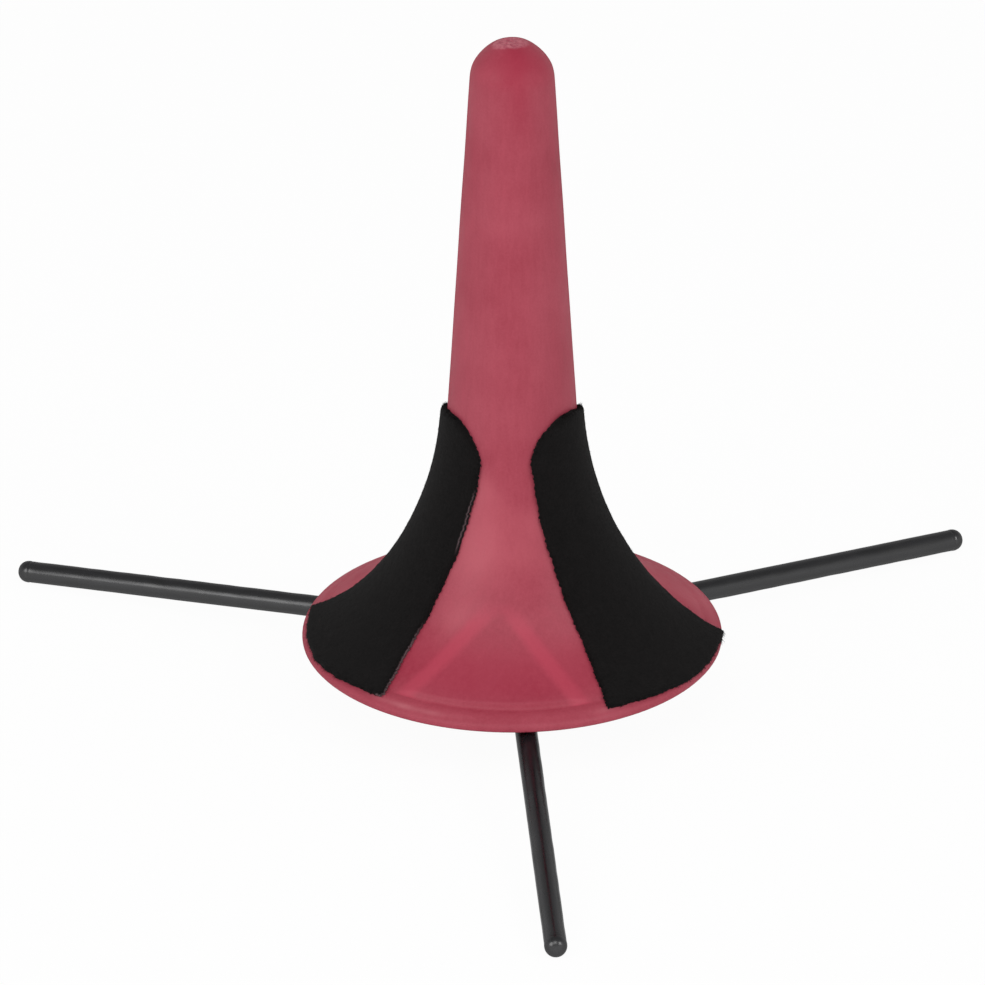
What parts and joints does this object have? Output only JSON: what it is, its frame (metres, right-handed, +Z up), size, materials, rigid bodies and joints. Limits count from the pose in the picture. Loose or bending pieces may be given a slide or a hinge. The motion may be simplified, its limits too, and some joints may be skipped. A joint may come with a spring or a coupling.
{
  "type": "clarinet stand",
  "caption": "Desk stand for a clarinet: a hollow trumpet-shaped cone with felt pads, plugged on a hub with splayed legs that fold for storage inside the cone.",
  "frame": {"origin": "on the floor at the centre of the stand's footprint; the stand's own axis is 24.5 mm behind it, at x 0, y 0.0245", "axes": "+Z up along the cone; -Y towards the front leg; +X to the right, across the two rear legs"},
  "size_m": [0.1738, 0.151, 0.1262],
  "materials": {
    "cone_plastic": "moulded red plastic, satin",
    "socket_plastic": "moulded red plastic, dull",
    "pad_felt": "black pressed felt",
    "hub_plastic": "black moulded plastic, fine texture",
    "leg_vinyl": "black vinyl, slightly uneven",
    "steel": "bright steel",
    "ring_rubber": "black rubber"
  },
  "bodies": {
    "hub": {"hub_plug": "hub_plastic", "hub_clamp_plate": "hub_plastic", "clamp_screw": "steel", "clamp_nut": "steel", "leg_pin_1": "steel", "leg_pin_2": "steel", "leg_pin_3": "steel"},
    "leg_1": {"leg_rod_1": "steel", "leg_sleeve_1": "leg_vinyl"},
    "leg_2": {"leg_rod_2": "steel", "leg_sleeve_2": "leg_vinyl"},
    "leg_3": {"leg_rod_3": "steel", "leg_sleeve_3": "leg_vinyl"},
    "ring": {"grip_ring": "ring_rubber"},
    "cone": {"cone_body": "cone_plastic", "socket_insert": "socket_plastic", "felt_pad_left": "pad_felt", "felt_pad_right": "pad_felt", "felt_pad_back": "pad_felt"}
  },
  "joints": [
    {"name": "leg_1_fold", "type": "hinge", "parent": "hub", "child": "leg_1", "pos_m": [0, 0.0189, 0.01132], "axis": [1, 0, 0], "range_deg": [0, 85.75]},
    {"name": "leg_2_fold", "type": "hinge", "parent": "hub", "child": "leg_2", "pos_m": [0.00485, 0.0273, 0.01132], "axis": [-0.5, 0.866, 0], "range_deg": [0, 85.75]},
    {"name": "leg_3_fold", "type": "hinge", "parent": "hub", "child": "leg_3", "pos_m": [-0.00485, 0.0273, 0.01132], "axis": [-0.5, -0.866, 0], "range_deg": [0, 85.75]},
    {"name": "cone_swivel", "type": "hinge", "parent": "hub", "child": "ring", "pos_m": [0, 0.0245, 0.0292], "axis": [0, 0, 1], "continuous": true},
    {"name": "cone_lift", "type": "slide", "parent": "ring", "child": "cone", "axis": [0, 0, 1], "range_m": [0, 0.03]}
  ]
}
